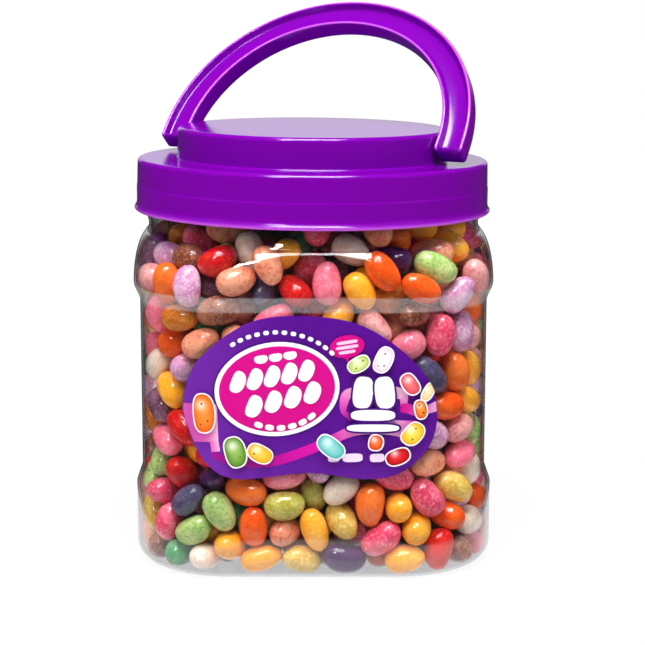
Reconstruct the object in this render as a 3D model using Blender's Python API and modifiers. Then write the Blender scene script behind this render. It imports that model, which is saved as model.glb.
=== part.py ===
"""Jar of jelly beans: a clear rounded-square jar, its screw lid, a bail handle, a label and the beans.

Z is up, the label faces -Y, and the jar stands on the plane z = 0 with its axis on the Z axis.
"""

import math

import bmesh
import bpy
from mathutils import Matrix, Vector

MM = 0.001

# Jar: a rounded square in plan, with a round neck
WALL = 0.8 * MM
BULGE_HALF = 64.2 * MM
BULGE_CORNER = 35.0 * MM
PANEL_INSET = 2.2 * MM
HEEL_RADIUS = 7.0 * MM
NECK_RADIUS = 60.9 * MM
PANEL_BOTTOM = 34.5 * MM
PANEL_TOP = 94.5 * MM
PANEL_STEP = 7.0 * MM
DOME_BOTTOM = 102.0 * MM
FLAT_TOP = 116.6 * MM
NECK_BASE = 118.5 * MM
NECK_TOP = 138.8 * MM

# Lid: a threaded skirt, a flange and a raised disc
LID_WALL = 1.8 * MM
LID_BOTTOM = 123.5 * MM
FLANGE_TOP = 142.4 * MM
LID_TOP = 153.6 * MM
LIP_RADIUS = 65.6 * MM
SKIRT_RADIUS = 64.7 * MM
FLANGE_RADIUS = 64.4 * MM
DISC_RADIUS = 49.8 * MM
LID_SHIFT = -0.5 * MM
LID_TILT = math.radians(0.6)

# Handle: half a ring on two pins, leaning back
HANDLE_TURN = math.radians(-26.0)
HANDLE_LEAN = math.radians(-40.5)
HANDLE_OUTER = 61.2 * MM
HANDLE_INNER = 50.4 * MM
HANDLE_DEPTH = 7.8 * MM
FOOT_LENGTH = 5.8 * MM
RIM = 1.8 * MM
CHANNEL_DEPTH = 2.4 * MM
PIVOT_HEIGHT = 150.0 * MM
PIN_RADIUS = 2.2 * MM
PIN_END = 46.0 * MM
GAP = 0.3 * MM

# Beans: a heap that fills the jar and the neck
HEAP_LEVEL = 124.0 * MM
BEAN_LENGTH = 15.5 * MM
BEAN_HEIGHT = 10.5 * MM
BEANS_ON_TOP = 60

# Label: a thin sheet on the recessed front panel, as (across, up) points of its outline
LABEL_THICKNESS = 0.35 * MM
LABEL_CENTRE = (0.0, 65.0)
LABEL_OUTLINE = [
    (-45.5, 63.5), (-40.0, 78.0), (-23.5, 91.0), (-5.5, 94.0), (15.5, 91.0), (32.5, 80.0), (42.0, 66.0),
    (41.5, 50.5), (31.0, 39.3), (17.5, 36.6), (-2.0, 38.8), (-26.5, 36.6), (-37.5, 42.5), (-44.0, 55.0),
]  # fmt: skip

CORNER_STEPS = 8
FLAT_STEPS = 4
TURN_STEPS = 56
ARCH_STEPS = 28
HEAP_ROWS = 10
LABEL_ROWS = 8


def collection_named(name):
    made = bpy.data.collections.new(name)
    bpy.context.scene.collection.children.link(made)
    return made


def plastic(name, colour, roughness, alpha=1.0):
    material = bpy.data.materials.new(name)
    material.use_nodes = True
    shader = material.node_tree.nodes["Principled BSDF"]
    shader.inputs["Base Color"].default_value = (*colour, 1.0)
    shader.inputs["Roughness"].default_value = roughness
    shader.inputs["Metallic"].default_value = 0.0
    shader.inputs["Alpha"].default_value = alpha
    return material


def add_object(name, mesh, collection, material=None):
    made = bpy.data.objects.new(name, mesh)
    collection.objects.link(made)
    if material:
        mesh.materials.append(material)
    return made


def mesh_of(name, bm):
    bmesh.ops.recalc_face_normals(bm, faces=bm.faces)
    mesh = bpy.data.meshes.new(name)
    bm.to_mesh(mesh)
    bm.free()
    mesh.shade_smooth()
    mesh.set_sharp_from_angle(angle=math.radians(35))
    return mesh


def ring_angles():
    """Directions of one ring's points: close together round the corners, wider along the flats."""
    flat = BULGE_HALF - BULGE_CORNER
    angles = []
    for quarter in range(4):
        start = quarter * math.pi / 2
        for step in range(CORNER_STEPS + 1):
            turn = step / CORNER_STEPS * math.pi / 2
            x = flat + BULGE_CORNER * math.cos(turn)
            y = flat + BULGE_CORNER * math.sin(turn)
            angles.append(start + math.atan2(y, x))
        first, last = angles[-1], start + math.pi / 2 + math.atan2(flat, BULGE_HALF)
        for step in range(1, FLAT_STEPS):
            angles.append(first + (last - first) * step / FLAT_STEPS)
    return angles


def square_reach(angle, half, corner):
    """Distance from the axis to a rounded square of that half width, in one direction."""
    folded = abs((angle + math.pi / 4) % (math.pi / 2) - math.pi / 4)
    flat = half - corner
    if half * math.tan(folded) <= flat:
        return half / math.cos(folded)
    along = flat * (math.cos(folded) + math.sin(folded))
    across = flat * (math.cos(folded) - math.sin(folded))
    return along + math.sqrt(max(corner**2 - across**2, 0.0))


def ring(half, corner, z):
    return [
        Vector((reach * math.cos(angle), reach * math.sin(angle), z))
        for angle in ring_angles()
        for reach in [square_reach(angle, half, corner)]
    ]


def smooth_step(share):
    return (1 - math.cos(math.pi * share)) / 2


def jar_stations():
    """(half width, corner radius, height) of the jar's outer skin, from its base to its mouth."""
    stations = []
    for step in range(6):
        turn = step / 5 * math.pi / 2
        inset = HEEL_RADIUS * (1 - math.sin(turn))
        stations.append((BULGE_HALF - inset, BULGE_CORNER - inset, HEEL_RADIUS * (1 - math.cos(turn))))
    for bottom, goes_out in ((PANEL_BOTTOM - PANEL_STEP, False), (PANEL_TOP, True)):
        for step in range(5):
            share = smooth_step(step / 4)
            inset = PANEL_INSET * (1 - share if goes_out else share)
            stations.append((BULGE_HALF - inset, BULGE_CORNER - inset, bottom + PANEL_STEP * step / 4))
    for step in range(1, 8):
        stations.append(dome_station(step / 7))
    stations.append((NECK_RADIUS, NECK_RADIUS, NECK_TOP))
    return stations


def dome_station(share):
    """One ring of the shoulder. Its flats reach the round neck at FLAT_TOP, before its corners."""
    fall = math.cos(share * math.pi / 2)
    z = DOME_BOTTOM + (NECK_BASE - DOME_BOTTOM) * math.sin(share * math.pi / 2)
    rise = min((z - DOME_BOTTOM) / (FLAT_TOP - DOME_BOTTOM), 1.0)
    half = NECK_RADIUS + (BULGE_HALF - NECK_RADIUS) * (1 - rise**2) ** 0.75
    bulge_reach = math.sqrt(2) * (BULGE_HALF - BULGE_CORNER) + BULGE_CORNER
    corner_reach = NECK_RADIUS + (bulge_reach - NECK_RADIUS) * fall**2.2
    corner = (math.sqrt(2) * half - corner_reach) / (math.sqrt(2) - 1)
    return half, min(corner, half), z


def bridge(bm, lower, upper):
    count = len(lower)
    for index in range(count):
        after = (index + 1) % count
        bm.faces.new((lower[index], lower[after], upper[after], upper[index]))


def cap(bm, points, centre):
    middle = bm.verts.new(centre)
    count = len(points)
    for index in range(count):
        bm.faces.new((points[index], points[(index + 1) % count], middle))


def make_jar(collection):
    bm = bmesh.new()
    rings = [[bm.verts.new(point) for point in ring(*station)] for station in jar_stations()]
    cap(bm, rings[0], Vector((0, 0, 0)))
    for lower, upper in zip(rings, rings[1:]):
        bridge(bm, lower, upper)
    clear = plastic("clear_plastic", (0.9, 0.92, 0.93), 0.05, alpha=0.25)
    jar = add_object("jar", mesh_of("jar", bm), collection, clear)
    wall = jar.modifiers.new("wall", "SOLIDIFY")
    wall.thickness = WALL
    wall.offset = -1.0
    wall.use_even_offset = True
    return jar


def rounded_edge(radius, height, edge):
    """A quarter circle about (radius, height), from its top to its outermost point."""
    turns = [math.pi / 2 * (1 - step / 3) for step in range(4)]
    return [(radius + edge * math.cos(turn), height + edge * math.sin(turn)) for turn in turns]


def lid_profile():
    """The lid's section as (radius, height), from its top centre down its outer side and up inside."""
    edge = 1.2 * MM
    profile = [(0.0, LID_TOP)]
    profile += rounded_edge(DISC_RADIUS - edge, LID_TOP - edge, edge)
    profile.append((DISC_RADIUS, FLANGE_TOP))
    profile += rounded_edge(FLANGE_RADIUS - edge, FLANGE_TOP - edge, edge)
    profile += [
        (SKIRT_RADIUS, LID_BOTTOM + 2.2 * MM),
        (LIP_RADIUS, LID_BOTTOM + 0.9 * MM),
        (LIP_RADIUS - 0.3 * MM, LID_BOTTOM),
        (SKIRT_RADIUS - LID_WALL, LID_BOTTOM),
        (FLANGE_RADIUS - LID_WALL, FLANGE_TOP - LID_WALL - edge),
        (FLANGE_RADIUS - LID_WALL - edge, FLANGE_TOP - LID_WALL),
        (DISC_RADIUS - LID_WALL, FLANGE_TOP - LID_WALL),
        (DISC_RADIUS - LID_WALL, LID_TOP - LID_WALL - edge),
        (DISC_RADIUS - LID_WALL - edge, LID_TOP - LID_WALL),
        (0.0, LID_TOP - LID_WALL),
    ]
    return profile


def make_cylinder(name, radius, depth, collection):
    bm = bmesh.new()
    bmesh.ops.create_cone(bm, cap_ends=True, segments=24, radius1=radius, radius2=radius, depth=depth)
    return add_object(name, mesh_of(name, bm), collection)


def make_lid(collection, cutters, seat, purple):
    bm = bmesh.new()
    verts = [bm.verts.new((radius, 0, height - LID_BOTTOM)) for radius, height in lid_profile()]
    for first, second in zip(verts, verts[1:]):
        bm.edges.new((first, second))
    mesh = bpy.data.meshes.new("lid")
    bm.to_mesh(mesh)
    bm.free()
    lid = add_object("lid", mesh, collection, purple)
    lid.parent = seat
    turn = lid.modifiers.new("turn", "SCREW")
    turn.steps = turn.render_steps = TURN_STEPS
    turn.use_merge_vertices = True
    turn.merge_threshold = 0.00001
    turn.use_smooth_shade = True
    bore = make_cylinder("pin_bore", PIN_RADIUS + GAP, 2 * DISC_RADIUS + 4 * MM, cutters)
    bore.parent = seat
    bore.matrix_local = pivot_matrix() @ Matrix.Rotation(math.pi / 2, 4, "Y")
    bore.hide_render = True
    bore.display_type = "WIRE"
    cut = lid.modifiers.new("pin_bore", "BOOLEAN")
    cut.operation = "DIFFERENCE"
    cut.object = bore
    return lid


def pivot_matrix():
    """The handle's frame in the lid's: X along its pins, Z up its plane, before it leans."""
    return Matrix.Translation((0, 0, PIVOT_HEIGHT - LID_BOTTOM)) @ Matrix.Rotation(HANDLE_TURN, 4, "Z")


def arch_outline(outer, inner, foot, steps):
    """Half a ring with straight feet, as points in its own plane."""
    points = [(outer, -foot)]
    points += [polar(outer, math.pi * step / steps) for step in range(steps + 1)]
    points += [(-outer, -foot), (-inner, -foot)]
    points += [polar(inner, math.pi * (1 - step / steps)) for step in range(steps + 1)]
    points.append((inner, -foot))
    return points


def polar(radius, angle):
    return radius * math.cos(angle), radius * math.sin(angle)


def flat_solid(name, outline, thickness, collection):
    """A flat outline with a thickness, made by a filled 2D curve and turned upright into the XZ plane."""
    curve = bpy.data.curves.new(name, "CURVE")
    curve.dimensions = "2D"
    curve.fill_mode = "BOTH"
    curve.extrude = thickness / 2
    spline = curve.splines.new("POLY")
    spline.points.add(len(outline) - 1)
    for point, (x, y) in zip(spline.points, outline):
        point.co = (x, y, 0, 1)
    spline.use_cyclic_u = True
    guide = add_object(name + "_curve", curve, collection)
    graph = bpy.context.evaluated_depsgraph_get()
    mesh = bpy.data.meshes.new_from_object(guide.evaluated_get(graph))
    bpy.data.objects.remove(guide)
    bm = bmesh.new()
    bm.from_mesh(mesh)
    bpy.data.meshes.remove(mesh)
    bmesh.ops.remove_doubles(bm, verts=bm.verts, dist=0.00001)
    bmesh.ops.dissolve_limit(bm, angle_limit=math.radians(1), verts=bm.verts, edges=bm.edges)
    bmesh.ops.rotate(bm, verts=bm.verts, cent=(0, 0, 0), matrix=Matrix.Rotation(math.pi / 2, 3, "X"))
    return add_object(name, mesh_of(name, bm), collection)


def make_handle(collection, cutters, seat, purple):
    pivot = bpy.data.objects.new("handle_pivot", None)
    collection.objects.link(pivot)
    pivot.parent = seat
    pivot.matrix_local = pivot_matrix() @ Matrix.Rotation(HANDLE_LEAN, 4, "X")

    outline = arch_outline(HANDLE_OUTER, HANDLE_INNER, FOOT_LENGTH, ARCH_STEPS)
    handle = flat_solid("handle", outline, HANDLE_DEPTH, collection)
    handle.data.materials.append(purple)
    handle.parent = pivot
    edge = handle.modifiers.new("edge", "BEVEL")
    edge.width = 0.8 * MM
    edge.segments = 2
    edge.limit_method = "ANGLE"
    edge.angle_limit = math.radians(40)

    channel_outline = arch_outline(HANDLE_OUTER - RIM, HANDLE_INNER + RIM, FOOT_LENGTH - RIM, ARCH_STEPS)
    channel = flat_solid("channel", channel_outline, 2 * CHANNEL_DEPTH, cutters)
    channel.location = (0, -HANDLE_DEPTH / 2, 0)
    cut = handle.modifiers.new("channel", "BOOLEAN")
    cut.operation = "DIFFERENCE"
    cut.object = channel
    tools = [channel]
    for side, name in ((-1, "pin_left"), (1, "pin_right")):
        start, end = PIN_END, HANDLE_INNER + 3 * MM
        pin = make_cylinder(name, PIN_RADIUS, end - start, cutters)
        pin.location = (side * (start + end) / 2, 0, 0)
        pin.rotation_euler = (0, math.pi / 2, 0)
        join = handle.modifiers.new(name, "BOOLEAN")
        join.operation = "UNION"
        join.object = pin
        tools.append(pin)
    for tool in tools:
        tool.parent = pivot
        tool.hide_render = True
        tool.display_type = "WIRE"
    return handle


def heap_height(x, y):
    """Height of the heap's top: beans on a spiral of even spacing, each a low rounded bump."""
    height = HEAP_LEVEL - BEAN_HEIGHT / 2
    reach = NECK_RADIUS - WALL - BEAN_HEIGHT / 2
    for index in range(BEANS_ON_TOP):
        radius = reach * math.sqrt((index + 0.5) / BEANS_ON_TOP)
        angle = index * math.pi * (3 - math.sqrt(5))
        away = math.hypot(x - radius * math.cos(angle), y - radius * math.sin(angle))
        share = 1 - (away / (BEAN_LENGTH / 2)) ** 2
        if share > 0:
            lift = math.sin(index * 2.4) * BEAN_HEIGHT / 6
            height = max(height, HEAP_LEVEL - BEAN_HEIGHT / 2 + lift + math.sqrt(share) * BEAN_HEIGHT / 2)
    return height


def make_beans(collection):
    """The heap: the jar's own form moved inwards, closed on top by the uneven surface of the beans."""
    stations = jar_stations()
    stations[-1] = (NECK_RADIUS, NECK_RADIUS, HEAP_LEVEL - BEAN_HEIGHT / 2)
    bm = bmesh.new()
    rings = [[bm.verts.new(point) for point in ring(*station)] for station in stations]
    cap(bm, rings[0], Vector((0, 0, 0)))
    for lower, upper in zip(rings, rings[1:]):
        bridge(bm, lower, upper)
    bmesh.ops.recalc_face_normals(bm, faces=bm.faces)
    bm.normal_update()
    outward = 1 if rings[-1][0].normal.dot(rings[-1][0].co) > 0 else -1
    for vert in bm.verts:
        vert.co -= vert.normal * outward * (WALL + 1.5 * GAP)
    below = rings[-1]
    edge = [vert.co.copy() for vert in below]
    for row in range(1, HEAP_ROWS):
        above = []
        for point in edge:
            x, y = point.x * (1 - row / HEAP_ROWS), point.y * (1 - row / HEAP_ROWS)
            above.append(bm.verts.new((x, y, heap_height(x, y))))
        bridge(bm, below, above)
        below = above
    cap(bm, below, Vector((0, 0, heap_height(0, 0))))
    sweets = plastic("sweets", (0.75, 0.32, 0.16), 0.2)
    return add_object("beans", mesh_of("beans", bm), collection, sweets)


def closed_curve(knots, steps):
    """Points of a smooth closed curve through the knots, by Catmull and Rom's rule."""
    points = []
    count = len(knots)
    for index in range(count):
        before, start, end, after = (Vector(knots[(index + shift) % count]) for shift in (-1, 0, 1, 2))
        for step in range(steps):
            t = step / steps
            bend = (end - before) * t + (2 * before - 5 * start + 4 * end - after) * t**2
            bend += (3 * start - before - 3 * end + after) * t**3
            points.append(start + bend / 2)
    return points


def on_panel(across, up, out):
    """A point on the front panel: `across` runs round the jar from its middle, `out` off its face."""
    corner = BULGE_CORNER - PANEL_INSET
    flat = BULGE_HALF - BULGE_CORNER
    turn = max(abs(across) - flat, 0.0) / corner
    x = min(abs(across), flat) + (corner + out) * math.sin(turn)
    y = flat + (corner + out) * math.cos(turn)
    return Vector((math.copysign(x, across), -y, up))


def make_label(collection):
    centre = Vector(LABEL_CENTRE)
    outline = closed_curve(LABEL_OUTLINE, 4)
    bm = bmesh.new()
    faces = []
    for out in (GAP, GAP + LABEL_THICKNESS):
        middle = bm.verts.new(on_panel(centre.x * MM, centre.y * MM, out))
        rings = []
        for row in range(1, LABEL_ROWS + 1):
            points = [(centre + (point - centre) * row / LABEL_ROWS) * MM for point in outline]
            rings.append([bm.verts.new(on_panel(point.x, point.y, out)) for point in points])
        for index in range(len(outline)):
            bm.faces.new((rings[0][index], rings[0][(index + 1) % len(outline)], middle))
        for lower, upper in zip(rings, rings[1:]):
            bridge(bm, lower, upper)
        faces.append(rings[-1])
    bridge(bm, *faces)
    print_purple = plastic("label_purple", (0.12, 0.01, 0.36), 0.35)
    return add_object("label", mesh_of("label", bm), collection, print_purple)


def main():
    for item in list(bpy.data.objects):
        bpy.data.objects.remove(item)
    parts = collection_named("jar_of_jelly_beans")
    cutters = collection_named("cutters")
    cutters.hide_render = True
    purple = plastic("purple_plastic", (0.19, 0.0, 0.42), 0.18)

    make_jar(parts)
    make_beans(parts)
    make_label(parts)
    seat = bpy.data.objects.new("lid_seat", None)
    parts.objects.link(seat)
    seat.location = (LID_SHIFT, 0, LID_BOTTOM)
    seat.rotation_euler = (0, LID_TILT, 0)
    make_lid(parts, cutters, seat, purple)
    make_handle(parts, cutters, seat, purple)


main()
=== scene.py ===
"""A jar of jelly beans on a white floor: a clear rounded-square jar full of loose beans, with its
purple screw lid, bail handle and front label. Lengths are in metres, and in the label's print in
millimetres."""

import math

import bmesh
import bpy
import numpy as np
from mathutils import Matrix, Vector


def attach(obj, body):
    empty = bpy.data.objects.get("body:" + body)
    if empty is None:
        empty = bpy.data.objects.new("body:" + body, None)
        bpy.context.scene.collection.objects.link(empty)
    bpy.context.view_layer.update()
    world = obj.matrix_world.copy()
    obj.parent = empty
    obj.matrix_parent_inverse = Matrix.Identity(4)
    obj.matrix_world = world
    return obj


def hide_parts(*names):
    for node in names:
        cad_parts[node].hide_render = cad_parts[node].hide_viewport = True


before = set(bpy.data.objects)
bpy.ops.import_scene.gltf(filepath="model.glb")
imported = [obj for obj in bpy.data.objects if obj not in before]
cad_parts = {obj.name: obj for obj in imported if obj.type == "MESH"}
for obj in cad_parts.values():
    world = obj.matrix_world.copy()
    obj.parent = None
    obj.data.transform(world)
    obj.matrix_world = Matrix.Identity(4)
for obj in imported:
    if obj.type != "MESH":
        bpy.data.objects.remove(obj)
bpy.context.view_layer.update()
scene = bpy.context.scene
MM = 0.001

# The jar, its lid and its handle, as in the CAD
WALL = 0.8 * MM
BULGE_HALF = 64.2 * MM
BULGE_CORNER = 35.0 * MM
PANEL_INSET = 2.2 * MM
HEEL_RADIUS = 7.0 * MM
NECK_RADIUS = 60.9 * MM
PANEL_BOTTOM = 34.5 * MM
PANEL_TOP = 94.5 * MM
PANEL_STEP = 7.0 * MM
DOME_BOTTOM = 102.0 * MM
FLAT_TOP = 116.6 * MM
NECK_BASE = 118.5 * MM
NECK_TOP = 138.8 * MM
LID_WALL = 1.8 * MM
LID_BOTTOM = 123.5 * MM
FLANGE_TOP = 142.4 * MM
LID_TOP = 153.6 * MM
LIP_RADIUS = 65.6 * MM
SKIRT_RADIUS = 64.7 * MM
FLANGE_RADIUS = 64.4 * MM
DISC_RADIUS = 49.8 * MM
PIVOT_HEIGHT = 150.0 * MM
HANDLE_OUTER = 61.17 * MM
HANDLE_INNER = 50.4 * MM
HANDLE_DEPTH = 7.8 * MM
FOOT_LENGTH = 5.8 * MM
CHANNEL_DEPTH = 2.4 * MM
PIN_RADIUS = 2.2 * MM
PIN_END = 46.0 * MM
SEAT = Matrix.Translation((-0.5 * MM, 0, LID_BOTTOM)) @ Matrix.Rotation(math.radians(0.6), 4, "Y")
PIVOT = SEAT @ Matrix.Translation((0, 0, PIVOT_HEIGHT - LID_BOTTOM))
PIVOT = PIVOT @ Matrix.Rotation(math.radians(-26), 4, "Z") @ Matrix.Rotation(math.radians(-40.5), 4, "X")
GAP = 0.3 * MM
LABEL_THICKNESS = 0.35 * MM

RING_POINTS = 192


def linear(red, green, blue):
    """An sRGB colour from 0 to 255, as the shader takes it."""
    values = [value / 255 for value in (red, green, blue)]
    return tuple(v / 12.92 if v <= 0.04045 else ((v + 0.055) / 1.055) ** 2.4 for v in values) + (1.0,)


class Shader:
    """A material, or a world, under construction: node() adds a node and links or sets its inputs."""

    def __init__(self, name, owner=None):
        self.material = owner or bpy.data.materials.new(name)
        self.material.use_nodes = True
        self.tree = self.material.node_tree
        self.tree.nodes.clear()

    def node(self, kind, inputs=(), **settings):
        made = self.tree.nodes.new("ShaderNode" + kind)
        for key, value in settings.items():
            setattr(made, key, value)
        for key, value in dict(inputs).items():
            if isinstance(value, bpy.types.NodeSocket):
                self.tree.links.new(value, made.inputs[key])
            else:
                made.inputs[key].default_value = value
        return made

    def math(self, operation, first, second=0.0, clamp=False):
        made = self.node("Math", {0: first, 1: second}, operation=operation, use_clamp=clamp)
        return made.outputs[0]

    def between(self, value, start, end):
        """0 at start and 1 at end, smoothed."""
        inputs = {"Value": value, "From Min": start, "From Max": end}
        return self.node("MapRange", inputs, interpolation_type="SMOOTHSTEP").outputs[0]

    def mix(self, share, first, second):
        made = self.node("Mix", {0: share, 6: first, 7: second}, data_type="RGBA")
        return made.outputs[2]

    def done(self, surface):
        self.node("OutputMaterial", {"Surface": surface})
        return self.material


def mesh_object(name, points, faces, material, body, sharp=50):
    mesh = bpy.data.meshes.new(name)
    mesh.from_pydata([tuple(point) for point in points], [], [tuple(face) for face in faces])
    mesh.materials.append(material)
    mesh.shade_smooth()
    if sharp:
        mesh.set_sharp_from_angle(angle=math.radians(sharp))
    made = bpy.data.objects.new(name, mesh)
    scene.collection.objects.link(made)
    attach(made, body)
    return made


def turn_faces_out(made):
    bm = bmesh.new()
    bm.from_mesh(made.data)
    bmesh.ops.recalc_face_normals(bm, faces=bm.faces)
    bm.to_mesh(made.data)
    bm.free()


def strip_faces(rows, columns, closed_rows=False, closed_columns=True):
    """Quads between the points of a grid, numbered row by row."""
    faces = []
    for row in range(rows if closed_rows else rows - 1):
        for column in range(columns if closed_columns else columns - 1):
            after = (column + 1) % columns
            above = (row + 1) % rows
            low, high = row * columns, above * columns
            faces.append((low + column, low + after, high + after, high + column))
    return faces


# ---------------------------------------------------------------- the jar's form


def smooth_step(share):
    return (1 - math.cos(math.pi * share)) / 2


def dome_station(share):
    """(half width, corner radius, height) in the shoulder, whose flats reach the neck at FLAT_TOP."""
    z = DOME_BOTTOM + (NECK_BASE - DOME_BOTTOM) * math.sin(share * math.pi / 2)
    fall = math.cos(share * math.pi / 2)
    rise = min((z - DOME_BOTTOM) / (FLAT_TOP - DOME_BOTTOM), 1.0)
    half = NECK_RADIUS + (BULGE_HALF - NECK_RADIUS) * (1 - rise**4) ** 0.5
    bulge_reach = math.sqrt(2) * (BULGE_HALF - BULGE_CORNER) + BULGE_CORNER
    corner_reach = NECK_RADIUS + (bulge_reach - NECK_RADIUS) * fall**2.2
    corner = (math.sqrt(2) * half - corner_reach) / (math.sqrt(2) - 1)
    return half, min(corner, half), z


def jar_stations():
    """(half width, corner radius, height) of the jar's outer skin, from its base to its mouth."""
    stations = []
    for step in range(13):
        turn = step / 12 * math.pi / 2
        inset = HEEL_RADIUS * (1 - math.sin(turn))
        stations.append((BULGE_HALF - inset, BULGE_CORNER - inset, HEEL_RADIUS * (1 - math.cos(turn))))
    for bottom, goes_out in ((PANEL_BOTTOM - PANEL_STEP, False), (PANEL_TOP, True)):
        for step in range(13):
            share = smooth_step(step / 12)
            inset = PANEL_INSET * (1 - share if goes_out else share)
            stations.append((BULGE_HALF - inset, BULGE_CORNER - inset, bottom + PANEL_STEP * step / 12))
    stations += [dome_station(step / 90) for step in range(1, 91)]
    for drop in (6.0, 5.0, 4.5, 4.0, 3.5, 3.0, 2.0):
        swell = 0.5 * MM * math.sin((6.0 - drop) / 4.0 * math.pi)
        stations.append((NECK_RADIUS + swell, NECK_RADIUS + swell, LID_BOTTOM + (1.0 - drop) * MM + 1.5 * MM))
    stations.append((NECK_RADIUS, NECK_RADIUS, NECK_TOP))
    return stations


def ring_angles(count=RING_POINTS):
    """Directions of a ring's points, even along the outline of the bulge."""
    flat, corner = BULGE_HALF - BULGE_CORNER, BULGE_CORNER
    quarter = 2 * flat + corner * math.pi / 2
    angles = []
    for index in range(count):
        side, along = divmod(index / count * 4 * quarter, quarter)
        if along < corner * math.pi / 2:
            turn = along / corner
            x, y = flat + corner * math.cos(turn), flat + corner * math.sin(turn)
        else:
            x, y = flat - (along - corner * math.pi / 2), BULGE_HALF
        angles.append(side * math.pi / 2 + math.atan2(y, x))
    return angles


ANGLES = np.array(ring_angles())


def square_reach(angles, half, corner):
    """Distance from the axis to a rounded square, in each of those directions."""
    folded = np.abs((angles + math.pi / 4) % (math.pi / 2) - math.pi / 4)
    flat = half - corner
    along = flat * (np.cos(folded) + np.sin(folded))
    across = flat * (np.cos(folded) - np.sin(folded))
    round_part = along + np.sqrt(np.maximum(corner**2 - across**2, 0))
    return np.where(half * np.tan(folded) <= flat, half / np.cos(folded), round_part)


def skin_points(inset=0.0, stations=None):
    """The jar's skin as an array of (station, ring point, xyz), moved inwards by inset."""
    rows = []
    for half, corner, z in stations or jar_stations():
        reach = square_reach(ANGLES, half, corner)
        x, y = reach * np.cos(ANGLES), reach * np.sin(ANGLES)
        rows.append(np.stack([x, y, np.full(len(ANGLES), z)], axis=1))
    grid = np.array(rows)
    if inset:
        up = np.gradient(grid, axis=0)
        round_way = (np.roll(grid, -1, axis=1) - np.roll(grid, 1, axis=1)) / 2
        normal = np.cross(round_way, up)
        grid = grid - inset * normal / np.maximum(np.linalg.norm(normal, axis=2, keepdims=True), 1e-12)
    return grid


def make_jar(material):
    outer, inner = skin_points(), skin_points(WALL)
    inner[-1, :, 2] = NECK_TOP
    inner[0, :, 2] = WALL
    rows, columns = outer.shape[:2]
    points = np.concatenate([outer.reshape(-1, 3), inner[::-1].reshape(-1, 3)])
    faces = strip_faces(2 * rows, columns)
    points = np.concatenate([points, [(0, 0, 0), (0, 0, WALL)]])
    middle = len(points) - 2
    last = (2 * rows - 1) * columns
    for column in range(columns):
        after = (column + 1) % columns
        faces.append((after, column, middle))
        faces.append((last + column, last + after, middle + 1))
    made = mesh_object("jar_shell", points, faces, material, "jar")
    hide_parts("jar")


# ---------------------------------------------------------------- lid and handle


def arc(radius, height, edge, start, end, steps=6):
    """Points of a circle's arc in the lid's section, between two angles in degrees."""
    turns = [math.radians(start + (end - start) * step / steps) for step in range(steps + 1)]
    return [(radius + edge * math.cos(turn), height + edge * math.sin(turn)) for turn in turns]


def lid_profile():
    edge, fillet = 1.6 * MM, 0.5 * MM
    under = LID_WALL
    section = [(0.0, LID_TOP), (DISC_RADIUS - 6 * MM, LID_TOP)]
    section += [(DISC_RADIUS - edge - 1.0 * MM, LID_TOP - 0.02 * MM)]
    section += arc(DISC_RADIUS - edge, LID_TOP - edge, edge, 90, 0, 8)
    section += [(DISC_RADIUS, LID_TOP - edge - 2 * MM), (DISC_RADIUS, FLANGE_TOP + fillet + 1 * MM)]
    section += arc(DISC_RADIUS + fillet, FLANGE_TOP + fillet, fillet, 180, 270, 4)
    section += [(DISC_RADIUS + fillet + 1 * MM, FLANGE_TOP), (FLANGE_RADIUS - edge - 1.0 * MM, FLANGE_TOP)]
    section += arc(FLANGE_RADIUS - edge, FLANGE_TOP - edge, edge, 90, 0, 8)
    section += [(FLANGE_RADIUS + 0.05 * MM, FLANGE_TOP - edge - 2.4 * MM)]
    groove = 132.6 * MM
    middle = FLANGE_RADIUS + (SKIRT_RADIUS - FLANGE_RADIUS) * 0.5
    section += [(middle, groove + 0.6 * MM), (middle + 0.01 * MM, groove + 0.12 * MM)]
    section += [(middle + 0.15 * MM, groove - 0.06 * MM), (middle + 0.17 * MM, groove - 0.5 * MM)]
    section += [(SKIRT_RADIUS, LID_BOTTOM + 4.0 * MM), (SKIRT_RADIUS + 0.05 * MM, LID_BOTTOM + 2.6 * MM)]
    section += arc(LIP_RADIUS - 0.8 * MM, LID_BOTTOM + 0.8 * MM, 0.8 * MM, 60, -90, 8)
    section += [
        (SKIRT_RADIUS - under, LID_BOTTOM),
        (FLANGE_RADIUS - under, FLANGE_TOP - under - edge),
        (FLANGE_RADIUS - under - edge, FLANGE_TOP - under),
        (DISC_RADIUS - under, FLANGE_TOP - under),
        (DISC_RADIUS - under, LID_TOP - under - edge),
        (DISC_RADIUS - under - edge, LID_TOP - under),
        (0.0, LID_TOP - under),
    ]
    return section


def paint_rim_highlights(made, shares):
    """Stores at each point how much painted highlight it gets, which makes it paler: pale pink-lilac lines
    along thin edges, standing in for light caught there.
    """
    layer = made.data.attributes.new("rim_highlight", "FLOAT", "POINT")
    layer.data.foreach_set("value", np.array(shares, np.float32))


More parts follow.
